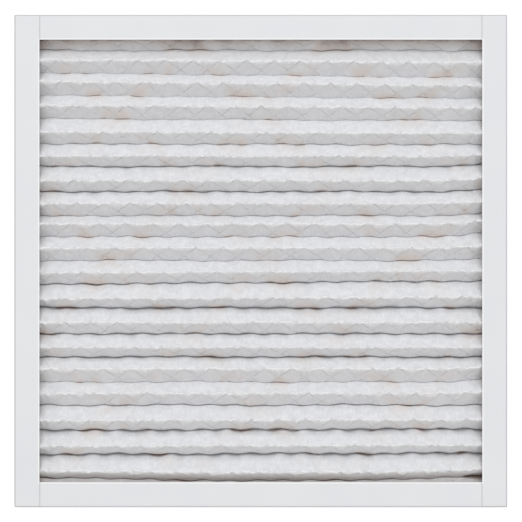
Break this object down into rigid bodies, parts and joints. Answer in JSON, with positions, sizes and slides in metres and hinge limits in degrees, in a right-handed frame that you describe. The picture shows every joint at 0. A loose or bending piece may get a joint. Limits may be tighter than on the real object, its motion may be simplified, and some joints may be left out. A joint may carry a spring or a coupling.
{
  "type": "pleated panel air filter",
  "caption": "Square panel air filter: white pleated media on expanded steel, held in a folded board frame with a diamond strap lattice across its back.",
  "frame": {"origin": "middle of the bottom, which is the air-leaving face with the strap lattice", "axes": "+Z out of the air-entering face, +X along the pleats, +Y from pleat to pleat"},
  "size_m": [0.4952, 0.4952, 0.0191],
  "materials": {
    "clay_coated_board": "clay-coated white outside, kraft brown inside, die-cut, scored and folded",
    "polyester_media": "needled polyester felt, folded in pleats",
    "galvanised_steel": "expanded steel sheet, galvanised",
    "hot_melt_glue": "hot-melt glue, translucent cream"
  },
  "bodies": {
    "root": {"board_frame": "clay_coated_board", "end_seal_bottom": "hot_melt_glue", "end_seal_top": "hot_melt_glue", "flap_glue_bottom_left": "hot_melt_glue", "flap_glue_bottom_right": "hot_melt_glue", "flap_glue_top_left": "hot_melt_glue", "flap_glue_top_right": "hot_melt_glue", "pleated_media": "polyester_media", "side_seal_left": "hot_melt_glue", "side_seal_right": "hot_melt_glue", "support_grid": "galvanised_steel", "tab_glue_bottom_left": "hot_melt_glue", "tab_glue_bottom_right": "hot_melt_glue", "tab_glue_top_left": "hot_melt_glue", "tab_glue_top_right": "hot_melt_glue"}
  },
  "joints": []
}
